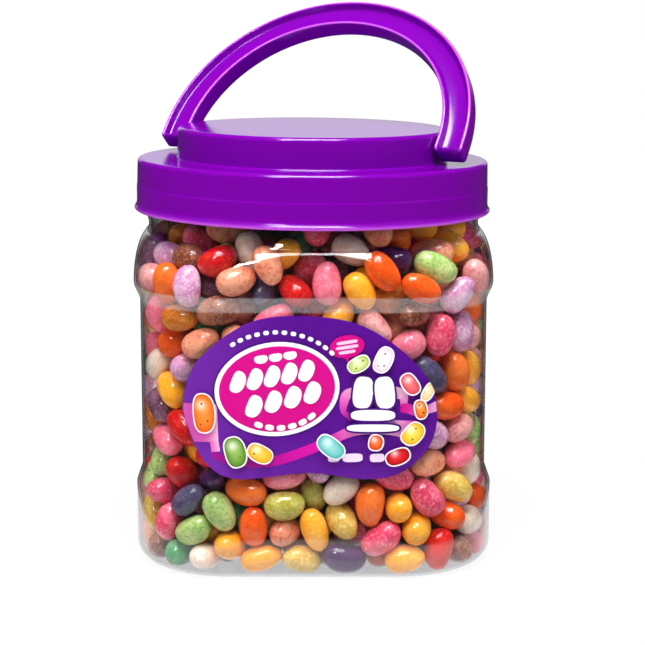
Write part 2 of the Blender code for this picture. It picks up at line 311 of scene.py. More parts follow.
def make_lid(material):
    steps = 256
    turns = np.arange(steps) * 2 * math.pi / steps
    section = np.array(lid_profile())
    inner = section[1:-1]
    rows = np.stack(
        [
            inner[:, None, 0] * np.cos(turns),
            inner[:, None, 0] * np.sin(turns),
            np.repeat(inner[:, None, 1] - LID_BOTTOM, steps, axis=1),
        ],
        axis=2,
    )
    height = LID_TOP - LID_BOTTOM
    points = list(rows.reshape(-1, 3)) + [(0, 0, height), (0, 0, height - LID_WALL)]
    top = len(points) - 2
    faces = [face[::-1] for face in strip_faces(len(inner), steps)]
    last = (len(inner) - 1) * steps
    for index in range(steps):
        after = (index + 1) % steps
        faces += [(index, after, top), (last + after, last + index, top + 1)]
    points = [SEAT @ Vector(point) for point in points]
    made = mesh_object("lid_shell", points, faces, material, "jar", 40)
    # painted highlight along the lip's lower bead
    above_lip = (inner[:, 1] - LID_BOTTOM - 0.4 * MM) / (0.6 * MM)
    lip_highlight = np.exp(-(above_lip**2)) * (inner[:, 0] > LIP_RADIUS - 0.8 * MM)
    paint_rim_highlights(made, list(np.repeat(lip_highlight, steps)) + [0.0, 0.0])
    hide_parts("lid")


def handle_section(inset, depth):
    """The handle's section as (radial, front to back): a channel of that depth between two rims."""
    half, back = (HANDLE_OUTER - HANDLE_INNER) / 2 - inset, HANDLE_DEPTH / 2 - inset
    edge = max(1.4 * MM - inset, 0.1 * MM)
    crest = 0.75 * MM
    front = -back
    section = []
    # the outer rim's crest, from the channel outwards
    for step in range(9):
        turn = math.radians(200 + 160 * step / 8)
        section.append((half - crest + crest * math.cos(turn), front + crest + crest * math.sin(turn)))
    for step in range(7):
        turn = math.radians(90 * step / 6)
        section.append((half - edge + edge * math.cos(turn), back - edge + edge * math.sin(turn)))
    for step in range(7):
        turn = math.radians(90 + 90 * step / 6)
        section.append((-half + edge + edge * math.cos(turn), back - edge + edge * math.sin(turn)))
    for step in range(9):
        turn = math.radians(180 + 160 * step / 8)
        section.append((-half + crest + crest * math.cos(turn), front + crest + crest * math.sin(turn)))
    floor = front + max(depth, 0.05 * MM)
    web = half - 2.3 * MM
    fillet = min(depth, 1 * MM)
    section += [(-web - 0.35 * MM, floor - 0.45 * fillet), (-web, floor - 0.1 * fillet)]
    section += [(-web + 0.4 * MM, floor), (0.0, floor), (web - 0.4 * MM, floor)]
    section += [(web, floor - 0.1 * fillet), (web + 0.35 * MM, floor - 0.45 * fillet)]
    return section


def handle_path():
    """(distance from the nearer end, middle of the section, its radial direction) along the handle."""
    middle = (HANDLE_OUTER + HANDLE_INNER) / 2
    ends = [0.0, 0.1, 0.25, 0.45, 0.7, 1.0, 1.3, 1.6, 1.9, 2.2, 2.6, 3.2, 4.0, 5.0]
    foot = [(end * MM, (middle, -FOOT_LENGTH + end * MM), (1.0, 0.0)) for end in ends]
    path = list(foot)
    for step in range(97):
        turn = math.pi * step / 96
        way = (math.cos(turn), math.sin(turn))
        path.append((FOOT_LENGTH, (middle * way[0], middle * way[1]), way))
    path += [(end, (-x, z), (-1.0, 0.0)) for end, (x, z), _ in reversed(foot)]
    return path


def make_handle(material):
    points = []
    round_end = 1.5 * MM
    for end, middle, way in handle_path():
        bite = max(round_end - end, 0.0)
        inset = round_end - math.sqrt(max(round_end**2 - bite**2, 0.0))
        depth = CHANNEL_DEPTH * smooth_step(min(max((end - 1.2 * MM) / (1.2 * MM), 0.0), 1.0))
        for radial, across in handle_section(inset * 0.9, depth):
            x, z = middle[0] + way[0] * radial, middle[1] + way[1] * radial
            points.append(PIVOT @ Vector((x, across, z)))
    columns = len(handle_section(0.0, CHANNEL_DEPTH))
    rows = len(handle_path())
    faces = [face[::-1] for face in strip_faces(rows, columns)]
    # painted highlight along both rims' crests, fading out at the ends of the feet
    crests = [math.exp(-(((step - 4.5) / 1.3) ** 2)) for step in range(9)]
    across_section = crests + [0.0] * 14 + crests[::-1]
    across_section += [0.0] * (columns - len(across_section))
    rim_highlight = [share * min(end / (2 * MM), 1.0) for end, _, _ in handle_path() for share in across_section]
    first = tuple(range(columns))
    last = tuple((rows - 1) * columns + column for column in reversed(range(columns)))
    faces += [first, last]
    for side in (-1, 1):
        start = len(points)
        for x in (PIN_END, HANDLE_INNER + 1.5 * MM):
            for step in range(24):
                turn = math.radians(15 * step) * side
                y, z = PIN_RADIUS * math.cos(turn), PIN_RADIUS * math.sin(turn)
                points.append(PIVOT @ Vector((side * x, y, z)))
        faces += [tuple(start + number for number in face) for face in strip_faces(2, 24)]
        faces.append(tuple(start + 23 - number for number in range(24)))
        faces.append(tuple(start + 24 + number for number in range(24)))
    made = mesh_object("handle_arch", points, faces, material, "handle", 45)
    paint_rim_highlights(made, rim_highlight + [0.0] * (len(points) - len(rim_highlight)))
    turn_faces_out(made)
    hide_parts("handle")


# ---------------------------------------------------------------- the beans


def wall_distance(points, table):
    """How far points lie outside the jar's outer skin (negative inside), and the way out."""
    heights, halves, corners = table

    def flat_distance(z):
        half, corner = np.interp(z, heights, halves), np.interp(z, heights, corners)
        over = np.abs(points[:, :2]) - (half - corner)[:, None]
        beyond = np.maximum(over, 0)
        outside = np.linalg.norm(beyond, axis=1)
        return outside + np.minimum(over.max(axis=1), 0) - corner, over, beyond

    z = points[:, 2]
    high = np.maximum(z, HEEL_RADIUS)
    distance, over, beyond = flat_distance(high)
    lower = np.maximum(high - 0.5 * MM, HEEL_RADIUS)
    slope = (flat_distance(high + 0.5 * MM)[0] - flat_distance(lower)[0]) / MM
    most = over.max(axis=1)[:, None]
    side = np.where(most > 0, beyond, (over == most).astype(float))
    side = side / np.maximum(np.linalg.norm(side, axis=1, keepdims=True), 1e-12) * np.sign(points[:, :2])
    way = np.concatenate([side, slope[:, None]], axis=1)
    size = np.linalg.norm(way, axis=1)
    distance, way = distance / size, way / size[:, None]
    # the heel is a quarter circle about a point HEEL_RADIUS in and up
    past, below = distance + HEEL_RADIUS, HEEL_RADIUS - z
    low = (below > 0) & (past > 0)
    length = np.maximum(np.hypot(past, below), 1e-9)
    heel_way = np.concatenate([side * (past / length)[:, None], (-below / length)[:, None]], axis=1)
    distance = np.where(low, length - HEEL_RADIUS, distance)
    way = np.where(low[:, None], heel_way, way)
    return distance, way


def pack_beans(count, seed):
    """Settles beans in the jar as stiff rows of three balls that push each other apart while they sink.
    Returns each bean's middle, long axis, half length between its end balls, and radius."""
    rng = np.random.default_rng(seed)
    stations = jar_stations()
    heights, first = np.unique([station[2] for station in stations], return_index=True)
    table = heights, np.array([stations[i][0] for i in first]), np.array([stations[i][1] for i in first])
    radius = rng.uniform(4.85, 5.5, count) * MM
    half = rng.uniform(1.9, 2.7, count) * MM
    spans = ((-55, 55), (-55, 55), (7, 121))
    middle = np.stack([rng.uniform(low, high, count) for low, high in spans], axis=1) * MM
    axis = rng.normal(size=(count, 3))
    axis /= np.linalg.norm(axis, axis=1, keepdims=True)
    places = np.array([-1.0, 0.0, 1.0])
    pairs = np.array([(a, b) for a in range(3) for b in range(3)])
    rounds = 420
    for turn in range(rounds):
        grown = min(1.0, 0.55 + 0.45 * turn / (0.4 * rounds))
        size, reach = radius * grown, half * grown
        if turn % 6 == 0:
            square = (middle**2).sum(axis=1)
            apart = square[:, None] + square[None, :] - 2 * middle @ middle.T
            one, two = np.nonzero(np.triu(apart < (18.5 * MM) ** 2, 1))
        shove = np.zeros((count, 3))
        twist = np.zeros((count, 3))
        met = np.zeros(count)
        balls = middle[:, None, :] + places[None, :, None] * (reach[:, None, None] * axis[:, None, :])
        for a, b in pairs:
            between = balls[two, b] - balls[one, a]
            length = np.maximum(np.linalg.norm(between, axis=1), 1e-9)
            depth = size[one] + size[two] - length
            hit = depth > 0
            i, j = one[hit], two[hit]
            push = between[hit] * (0.5 * depth[hit] / length[hit])[:, None]
            for way in range(3):
                on_two = np.bincount(j, push[:, way], count)
                on_one = np.bincount(i, push[:, way], count)
                shove[:, way] += on_two - on_one
                twist[:, way] += places[b] * on_two
                twist[:, way] -= places[a] * on_one
            met += np.bincount(i, minlength=count) + np.bincount(j, minlength=count)
        for a in range(3):
            outside, way = wall_distance(balls[:, a], table)
            depth = np.maximum(outside + WALL + size + 0.15 * MM, 0)
            sunk = np.maximum(WALL + size + 0.1 * MM - balls[:, a, 2], 0)
            push = -way * depth[:, None]
            push[:, 2] += np.where(depth > 0, 0, sunk)
            shove += 1.5 * push
            twist += 1.5 * places[a] * push
            met += (depth > 0) | (sunk > 0)
        share = 1.0 / np.maximum(met * 0.55, 1.0)
        fall = 0.05 * MM * max(1 - turn / (0.8 * rounds), 0)
        middle = middle + shove * share[:, None]
        middle[:, 2] -= fall
        axis = axis + twist * (share * 0.8 / reach)[:, None]
        axis /= np.maximum(np.linalg.norm(axis, axis=1, keepdims=True), 1e-9)
    for _ in range(4):
        for a in range(3):
            ball = middle + places[a] * half[:, None] * axis
            outside, way = wall_distance(ball, table)
            middle -= way * np.maximum(outside + WALL + radius, 0)[:, None]
            middle[:, 2] += np.maximum(WALL + radius - ball[:, 2], 0)
    outside, _ = wall_distance(middle, table)
    return middle, axis, half, radius, outside


def bean_form(rows, columns):
    """A unit bean: each point's place along it (-1 to 1), girth (0 to 1) and angle, and its faces."""
    along, girth, angle = [-1.0], [0.0], [0.0]
    for row in range(1, rows):
        turn = math.pi * row / rows
        for column in range(columns):
            along.append(-math.cos(turn))
            girth.append(math.sin(turn))
            angle.append(2 * math.pi * column / columns)
    along.append(1.0)
    girth.append(0.0)
    angle.append(0.0)
    faces = []
    for column in range(columns):
        after = (column + 1) % columns
        faces.append((0, 1 + after, 1 + column))
        base = 1 + (rows - 2) * columns
        faces.append((base + column, base + after, 1 + (rows - 1) * columns))
        for row in range(rows - 2):
            low, high = 1 + row * columns, 1 + (row + 1) * columns
            faces.append((low + column, low + after, high + after, high + column))
    return np.array(along), np.array(girth), np.array(angle), faces


BEAN_COUNT = 1150
SHOWN_DEPTH = 30 * MM
CORE_INSET = 27 * MM
CORE_BOTTOM, CORE_TOP = 14 * MM, 90 * MM

# name: (share of all beans, colour, second colour of its mottling, how much of that, how see-through)
KINDS = {
    "orange": (8, (240, 104, 32), (255, 152, 76), 0.22, 0.06),
    "deep_orange": (4, (226, 76, 14), (250, 124, 50), 0.2, 0.05),
    "amber": (7, (247, 160, 26), (255, 200, 96), 0.25, 0.08),
    "peach": (8, (244, 168, 132), (214, 98, 74), 0.38, 0.08),
    "pale_pink": (8, (244, 178, 172), (214, 92, 112), 0.34, 0.1),
    "pink": (7, (240, 104, 132), (250, 168, 178), 0.3, 0.08),
    "rose": (6, (214, 62, 96), (244, 140, 158), 0.34, 0.1),
    "red": (7, (196, 12, 22), (236, 70, 50), 0.25, 0.05),
    "crimson": (3, (150, 6, 40), (200, 40, 70), 0.3, 0.06),
    "lilac": (8, (198, 134, 174), (236, 200, 222), 0.45, 0.1),
    "plum": (5, (104, 60, 88), (156, 112, 134), 0.4, 0.08),
    "purple": (4, (58, 18, 74), (100, 50, 114), 0.25, 0.05),
    "slate": (2, (70, 64, 96), (112, 106, 132), 0.3, 0.05),
    "brown": (4, (120, 60, 42), (180, 118, 88), 0.45, 0.06),
    "caramel": (4, (184, 98, 28), (226, 152, 66), 0.35, 0.08),
    "mustard": (5, (204, 162, 62), (234, 206, 122), 0.4, 0.1),
    "olive": (4, (164, 156, 56), (206, 200, 118), 0.4, 0.1),
    "pale_green": (4, (190, 206, 132), (84, 156, 54), 0.32, 0.1),
    "green": (4, (46, 138, 80), (112, 186, 128), 0.32, 0.08),
    "cream": (7, (240, 224, 206), (214, 170, 150), 0.3, 0.12),
}


def bean_material(name, colour, second, amount, clear):
    s = Shader("sweets_" + name)
    where = s.node("TexCoord").outputs["Object"]
    own = s.node("Attribute", attribute_name="bean_shade").outputs["Fac"]
    away = s.node("CombineXYZ", {0: own, 1: own}).outputs[0]
    shift = s.node("VectorMath", {0: where, 1: away}, operation="ADD").outputs[0]
    fine_noise = {"Vector": shift, "Scale": 900.0, "Detail": 3.0, "Roughness": 0.6}
    fine = s.node("TexNoise", fine_noise).outputs["Fac"]
    broad = s.node("TexNoise", {"Vector": shift, "Scale": 160.0, "Detail": 2.0}).outputs["Fac"]
    specks = s.between(fine, 0.5, 0.62)
    clouds = s.between(broad, 0.42, 0.62)
    marks = s.math("ADD", s.math("MULTIPLY", specks, 0.8), s.math("MULTIPLY", clouds, 0.6))
    share = s.math("MULTIPLY", marks, amount * 1.8, True)
    mottled = s.mix(share, linear(*colour), linear(*second))
    bright = s.math("ADD", s.math("MULTIPLY", own, 0.3), 0.92)
    shaded = {"Hue": 0.5, "Saturation": 1.0, "Value": bright, "Color": mottled}
    base = s.node("HueSaturation", shaded).outputs[0]
    ripples = s.node("TexNoise", {"Vector": shift, "Scale": 260.0, "Detail": 2.0}).outputs["Fac"]
    grains = s.node("TexNoise", {"Vector": shift, "Scale": 1400.0, "Detail": 1.0}).outputs["Fac"]
    height = s.math("ADD", ripples, s.math("MULTIPLY", grains, 0.16))
    bump = s.node("Bump", {"Strength": 0.14, "Distance": 0.001, "Height": height}).outputs[0]
    inputs = {
        "Base Color": base,
        "Roughness": 0.16,
        "IOR": 1.5,
        "Subsurface Weight": clear,
        "Subsurface Radius": (1.0, 0.6, 0.4),
        "Subsurface Scale": 0.002,
        "Coat Weight": 0.35,
        "Coat Roughness": 0.06,
        "Normal": bump,
    }
    return s.done(s.node("BsdfPrincipled", inputs).outputs[0])


def make_beans():
    middle, axis, half, radius, outside = pack_beans(BEAN_COUNT, 7)
    rng = np.random.default_rng(11)
    count = len(middle)
    names = list(KINDS)
    shares = np.array([KINDS[name][0] for name in names], float)
    kinds = rng.choice(len(names), count, p=shares / shares.sum())
    kept = (outside > -SHOWN_DEPTH) | (middle[:, 2] > 100 * MM) | (middle[:, 2] < 18 * MM)
    along, girth, angle, faces = bean_form(14, 20)
    face_list = [np.array(face) for face in faces]
    for number, name in enumerate(names):
        points, made_faces, shades = [], [], []
        for bean in np.flatnonzero(kept & (kinds == number)):
            side = np.cross(axis[bean], rng.normal(size=3))
            side /= np.linalg.norm(side)
            third = np.cross(axis[bean], side)
            long_half = half[bean] + radius[bean]
            bend, egg = rng.uniform(0.1, 0.9) * MM, rng.uniform(-0.13, 0.13)
            thick = radius[bean] * (1 + egg * along) * girth**0.86
            flatten = rng.uniform(0.9, 1.0)
            u = thick * np.cos(angle) + bend * (along**2 - 0.35)
            v = thick * np.sin(angle) * flatten
            x = long_half * np.sign(along) * np.abs(along) ** 0.96
            start = len(points) * len(along)
            points.append(middle[bean] + x[:, None] * axis[bean] + u[:, None] * side + v[:, None] * third)
            made_faces += [tuple(face + start) for face in face_list]
            shades.append(np.full(len(along), rng.uniform(0, 1)))
        _, colour, second, amount, clear = KINDS[name]
        material = bean_material(name, colour, second, amount, clear)
        made = mesh_object("beans_" + name, np.concatenate(points), made_faces, material, "jar", 0)
        layer = made.data.attributes.new("bean_shade", "FLOAT", "POINT")
        layer.data.foreach_set("value", np.concatenate(shades))


def make_core():
    """The jar's form, smaller, in place of the beans that are too deep to be seen, in a dark brown that is
    painted shade for the shaded heap deep inside.
    """
    low, high = HEEL_RADIUS, 106 * MM
    stations = [station for station in jar_stations() if low <= station[2] <= high]
    grid = skin_points(0.0, stations)
    grid[:, :, :2] *= 1 - CORE_INSET / BULGE_HALF
    grid[:, :, 2] = CORE_BOTTOM + (grid[:, :, 2] - low) * (CORE_TOP - CORE_BOTTOM) / (high - low)
    rows, columns = grid.shape[:2]
    faces = strip_faces(rows, columns)
    faces.append(tuple(reversed(range(columns))))
    faces.append(tuple((rows - 1) * columns + column for column in range(columns)))
    s = Shader("sweets_core_painted_shade")
    # painted shade: dark brown for the shaded beans deep in the heap
    inputs = {"Base Color": linear(70, 30, 24), "Roughness": 0.6}
    dark = s.done(s.node("BsdfPrincipled", inputs).outputs[0])
    made = mesh_object("beans_core", grid.reshape(-1, 3), faces, dark, "jar", 0)
    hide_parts("beans")


# ---------------------------------------------------------------- the label, in millimetres on its panel

LABEL_CENTRE = np.array([0.0, 65.0])
LABEL_OUTLINE = [
    (-45.5, 63.5), (-40.0, 78.0), (-23.5, 91.0), (-5.5, 94.0), (15.5, 91.0), (32.5, 80.0), (42.0, 66.0),
    (41.5, 50.5), (31.0, 39.3), (17.5, 36.6), (-2.0, 38.8), (-26.5, 36.6), (-37.5, 42.5), (-44.0, 55.0),
]  # fmt: skip
INK = 0.02 * MM


def closed_curve(knots, steps):
    """Points of a smooth closed curve through the knots, by Catmull and Rom's rule."""
    knots = np.array(knots, float)
    before, after, beyond = np.roll(knots, 1, axis=0), np.roll(knots, -1, axis=0), np.roll(knots, -2, axis=0)
    points = []
    for step in range(steps):
        t = step / steps
        bend = (after - before) * t + (2 * before - 5 * knots + 4 * after - beyond) * t**2
        points.append(knots + (bend + (3 * knots - before - 3 * after + beyond) * t**3) / 2)
    return np.stack(points, axis=1).reshape(-1, 2)


def open_curve(knots, count):
    """That many points along a smooth open curve through the knots."""
    knots = np.array(knots, float)
    padded = np.concatenate([[2 * knots[0] - knots[1]], knots, [2 * knots[-1] - knots[-2]]])
    points = []
    for share in np.linspace(0, len(knots) - 1.0001, count):
        index = int(share)
        t = share - index
        a, b, c, d = padded[index : index + 4]
        bend = (c - a) * t + (2 * a - 5 * b + 4 * c - d) * t**2
        points.append(b + (bend + (3 * b - a - 3 * c + d) * t**3) / 2)
    return np.array(points)


def on_panel(across, up, out):
    """A point on the front panel, in metres: across runs round the jar, out is off its face."""
    corner, flat = BULGE_CORNER - PANEL_INSET, BULGE_HALF - BULGE_CORNER
    turn = max(abs(across) - flat, 0.0) / corner
    x = min(abs(across), flat) + (corner + out) * math.sin(turn)
    return math.copysign(x, across), -(flat + (corner + out) * math.cos(turn)), up


def make_label(material):
    outline = closed_curve(LABEL_OUTLINE, 14)
    rows, columns = 24, len(outline)
    points, faces = [], []
    for out in (GAP, GAP + LABEL_THICKNESS):
        start = len(points)
        for row in range(1, rows + 1):
            ring = LABEL_CENTRE + (outline - LABEL_CENTRE) * row / rows
            points += [on_panel(x * MM, z * MM, out) for x, z in ring]
        points.append(on_panel(LABEL_CENTRE[0] * MM, LABEL_CENTRE[1] * MM, out))
        middle = len(points) - 1
        side = [tuple(start + number for number in face) for face in strip_faces(rows, columns)]
        side += [(start + column, start + (column + 1) % columns, middle) for column in range(columns)]
        faces += side if out == GAP else [face[::-1] for face in side]
    low, high = (rows - 1) * columns, (rows - 1) * columns + rows * columns + 1
    for column in range(columns):
        after = (column + 1) % columns
        faces.append((low + column, high + column, high + after, low + after))
    made = mesh_object("label_sheet", points, faces, material, "jar", 50)
    turn_faces_out(made)
    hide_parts("label")


class Print:
    """The label's print: flat shapes with a colour at each point, each nearer than the last."""

    def __init__(self):
        self.points, self.faces, self.colours, self.layer = [], [], [], 0
        outline = closed_curve(LABEL_OUTLINE, 14) - LABEL_CENTRE
        angles = np.arctan2(outline[:, 1], outline[:, 0])
        order = np.argsort(angles)
        self.edge = angles[order], np.linalg.norm(outline, axis=1)[order]

    def add(self, grid, colours, closed):
        """grid is (rows, columns, 2) and colours (rows, columns, 3), of sRGB from 0 to 255."""
        self.layer += 1
        away = grid.reshape(-1, 2) - LABEL_CENTRE
        limit = np.interp(np.arctan2(away[:, 1], away[:, 0]), *self.edge, period=2 * math.pi) * 0.994
        reach = np.maximum(np.linalg.norm(away, axis=1), 1e-9)
        placed = LABEL_CENTRE + away * np.minimum(1, limit / reach)[:, None]
        start = len(self.points)
        out = GAP + LABEL_THICKNESS + self.layer * INK
        self.points += [on_panel(x * MM, z * MM, out) for x, z in placed]
        self.colours += [linear(*colour) for colour in colours.reshape(-1, 3)]
        rows, columns = grid.shape[:2]
        faces = strip_faces(rows, columns, closed_columns=closed)
        self.faces += [tuple(start + number for number in face) for face in faces]

    def oval(self, centre, across, up, tilt, colour, edge_colour=None, square=2.0, bend=0.0, shine=0.0):
        """An oval, with fuller ends if square is over 2. Its colour runs to edge_colour, and shine
        lightens its upper part."""
        rows, turns = 12, np.linspace(0, 2 * math.pi, 56, endpoint=False)
        share = np.linspace(0.001, 1, rows)[:, None]
        x = share * np.sign(np.cos(turns)) * np.abs(np.cos(turns)) ** (2 / square)
        y = share * np.sign(np.sin(turns)) * np.abs(np.sin(turns)) ** (2 / square)
        lean = math.radians(tilt)
        wide, high = x * across, y * up + bend * (x**2 - 0.4)
        right = centre[0] + wide * math.cos(lean) - high * math.sin(lean)
        above = centre[1] + wide * math.sin(lean) + high * math.cos(lean)
        grid = np.stack([right, above], axis=2)
        edge_colour = colour if edge_colour is None else edge_colour
        fade = (share**2.5 + 0 * x)[:, :, None]
        colours = np.array(colour) * (1 - fade) + np.array(edge_colour) * fade
        if shine:
            reach = 0.42 * np.abs(grid - centre).max(axis=(0, 1)) * (-0.6, 1)
            apart = np.linalg.norm(grid - centre - reach, axis=2)
            glow = np.exp(-((apart / (0.55 * up)) ** 2))[:, :, None] * shine
            colours = colours * (1 - glow) + 255 * glow
        self.add(grid, colours, True)

    def row(self, count, first, step, long, short, tilt):
        """White ovals in a straight row."""
        for index in range(count):
            centre = first[0] + index * step[0], first[1] + index * step[1]
            self.oval(centre, long, short, tilt, WHITE, square=2.5, bend=0.18 * short)

    def arc(self, count, across, up, start, end, long, short):
        """White ovals along an arc about the big oval's middle, between two angles in degrees."""
        for turn in np.radians(np.linspace(start, end, count)):
            centre = OVAL[0] + across * math.cos(turn), OVAL[1] + up * math.sin(turn)
            lean = math.degrees(math.atan2(up * math.cos(turn), -across * math.sin(turn)))
            self.oval(centre, long, short, lean, WHITE, square=2.6)

    def bean(self, centre, long, short, tilt, colour, dark, spot=None, specks=0):
        """A printed bean with a pale rim and up to three specks."""
        self.oval(centre, long + 0.45, short + 0.45, tilt, (250, 240, 248), square=2.5, bend=0.08 * short)
        self.oval(centre, long, short, tilt, colour, dark, square=2.5, bend=0.08 * short, shine=0.75)
        lean = math.radians(tilt)
        for along, aside, size in ((-0.4, -0.35, 0.4), (0.5, 0.15, 0.4), (-0.6, 0.35, 0.3))[:specks]:
            x = along * long * math.cos(lean) - aside * short * math.sin(lean)
            z = along * long * math.sin(lean) + aside * short * math.cos(lean)
            self.oval((centre[0] + x, centre[1] + z), size, size * 0.7, 40, spot)

    def ribbon(self, knots, colours):
        """A ribbon along a smooth line through knots (across, up, width), its colours spread along it."""
        count, rows = 60, 6
        line = open_curve(knots, count)
        way = np.gradient(line[:, :2], axis=0)
        normal = np.stack([-way[:, 1], way[:, 0]], axis=1) / np.linalg.norm(way, axis=1)[:, None]
        share = np.linspace(-0.5, 0.5, rows)[:, None, None]
        grid = line[None, :, :2] + share * (line[:, 2:] * normal)[None]
        stops = np.array(colours, float)
        along = np.linspace(0, len(stops) - 1, count)
        shades = [np.interp(along, range(len(stops)), stops[:, channel]) for channel in range(3)]
        self.add(grid, np.repeat(np.stack(shades, axis=1)[None], rows, axis=0), False)


OVAL = (-12.5, 68.5)
VIOLET, MAGENTA, WHITE = (70, 8, 120), (206, 0, 132), (250, 246, 250)
PINK, PALE, DEEP = (226, 92, 186), (240, 178, 214), (158, 12, 140)


def print_ribbons(p):
    """The ribbon: round the left edge, along the bottom, and curled behind the shapes on the right."""
    p.ribbon([(-48, 56, 13.5), (-33, 56.5, 13.5)], [PINK, (196, 78, 160), PINK, PALE])
    p.ribbon([(-35.5, 48, 4), (-32.5, 48.5, 4)], [PINK, PALE])
    bottom = [(-35, 45.5, 2), (-28, 43, 3), (-14, 43, 3.5), (2, 48.5, 3.5), (13, 53.5, 3.5)]
    bottom += [(24, 55, 5), (35, 54, 6.5)]
    p.ribbon(bottom, [DEEP, DEEP, DEEP, (190, 5, 150), (220, 10, 170), PINK, PALE, PALE, PINK])
    curl = [(14, 67.5, 3.5), (11.5, 66.5, 3.5), (10.5, 64, 3), (10.5, 60.5, 2), (13.5, 58, 2)]
    p.ribbon(curl, [PALE, PINK, DEEP])
    p.ribbon([(27, 67.5, 4), (29.5, 67, 4), (31, 65.5, 3), (31, 62.5, 2)], [PALE, PALE, PINK])
    tail = [(30, 62, 3), (33, 61.5, 3.5), (36, 60, 2.5), (39.5, 61, 3), (44.5, 62.5, 4)]
    p.ribbon(tail, [MAGENTA, PINK, PALE])


def print_shapes(p):
    """The big oval with its ring, and plain white shapes where a pack has words."""
    for colour, across, up in ((VIOLET, 22, 17), (WHITE, 21.5, 16.5), (MAGENTA, 20, 15)):
        p.oval(OVAL, across, up, 6, colour)
    p.row(3, (-18, 79), (5, 0.7), 2.3, 1.4, 8)
    p.row(5, (-26, 71), (5.9, 1), 3.9, 2.4, 69)
    p.row(4, (-20.5, 62.5), (6.7, 1.6), 4, 2.6, 69)
    p.arc(6, 16.5, 13.6, -113, -44, 1.5, 1)
    p.ribbon([(11, 81, 2), (12, 78, 0.5)], [MAGENTA, MAGENTA])
    p.oval((11.5, 83.5), 6, 4, 10, MAGENTA)
    for z, half in ((85, 3.6), (83.3, 3.9), (81.6, 2.9)):
        p.oval((11.5, z), half, 0.55, 9, (248, 196, 226), square=4.0)
    p.arc(13, 24.5, 20, 128, 40, 0.95, 0.75)
    upright = ((17, 67.5, 5.6, 3.4, 84), (24.5, 67.5, 5.6, 3.4, 96))
    level = ((20.5, 59.5, 7.6, 1.9, 0), (20.5, 55, 9, 1.3, 0))
    for x, z, across, up, tilt in upright + level:
        for rim, colour in ((0.7, VIOLET), (0, WHITE)):
            p.oval((x, z), across + rim, up + rim, tilt, colour, square=3.0)
    for x, half in ((7, 2), (13.5, 3.5), (22, 2.5)):
        p.oval((x, 44.5), half, 1.5, 2, (240, 214, 240), square=3.5)


def print_beans(p):
    brown, leaf, plum = (120, 40, 10), (90, 130, 30), (150, 60, 120)
    p.bean((-37.5, 60), 6.7, 3.5, 93, (248, 140, 50), (226, 84, 12), brown, 3)
    p.bean((-27, 46.5), 5.3, 3.4, 104, (140, 180, 80), (74, 124, 30), leaf, 1)
    p.bean((-18.5, 46), 4.3, 2.8, -28, (250, 200, 70), (226, 160, 20), brown, 1)
    p.bean((15.5, 77.5), 3.7, 2.3, 30, (222, 232, 160), (160, 190, 80), leaf, 2)
    p.bean((24, 79), 4.4, 2.7, 66, (250, 240, 242), (222, 196, 208), plum, 3)
    p.bean((33, 70.5), 3.8, 2.4, -58, (240, 110, 112), (210, 60, 80))
    p.bean((39, 67.5), 3.1, 1.6, 62, (248, 226, 180), (220, 190, 120))
    p.bean((36.5, 61.5), 3.2, 1.9, 100, (244, 140, 44), (206, 84, 16), brown, 2)
    p.bean((34, 53), 4, 3, 52, (246, 214, 70), (226, 168, 24), leaf, 2)
    p.bean((6, 48.5), 5, 3, -38, (140, 214, 208), (70, 170, 172))
    p.bean((21.5, 50), 2.6, 2.3, 80, (244, 110, 40), (196, 44, 16))
    p.bean((29, 45), 4, 2.6, 22, (222, 30, 36), (160, 2, 16))


def make_print(material):
    p = Print()
    print_ribbons(p)
    print_shapes(p)
    print_beans(p)
    made = mesh_object("label_print", p.points, p.faces, material, "jar", 0)
    layer = made.data.attributes.new("ink", "FLOAT_COLOR", "POINT")
    layer.data.foreach_set("color", np.array(p.colours, np.float32).ravel())


def film(s, colour):
    """Printed film, with a soft gloss."""
    inputs = {"Base Color": colour, "Roughness": 0.42, "Specular IOR Level": 0.15}
    return s.done(s.node("BsdfPrincipled", inputs).outputs[0])


def label_purple():
    """Violet film, lighter towards its left and lower edges."""
    s = Shader("label_purple")
    place = s.node("SeparateXYZ", {0: s.node("TexCoord").outputs["Object"]}).outputs
    left = s.between(place[0], -5 * MM, -44 * MM)
    low = s.between(place[2], 60 * MM, 38 * MM)
    share = s.math("ADD", s.math("MULTIPLY", left, 0.75), s.math("MULTIPLY", low, 0.3), True)
    colour = s.mix(share, linear(84, 4, 138), linear(112, 40, 162))
    return film(s, colour)


def label_ink():
    s = Shader("label_ink")
    colour = s.node("Attribute", attribute_name="ink").outputs["Color"]
    return film(s, colour)


# ---------------------------------------------------------------- materials of the jar and lid


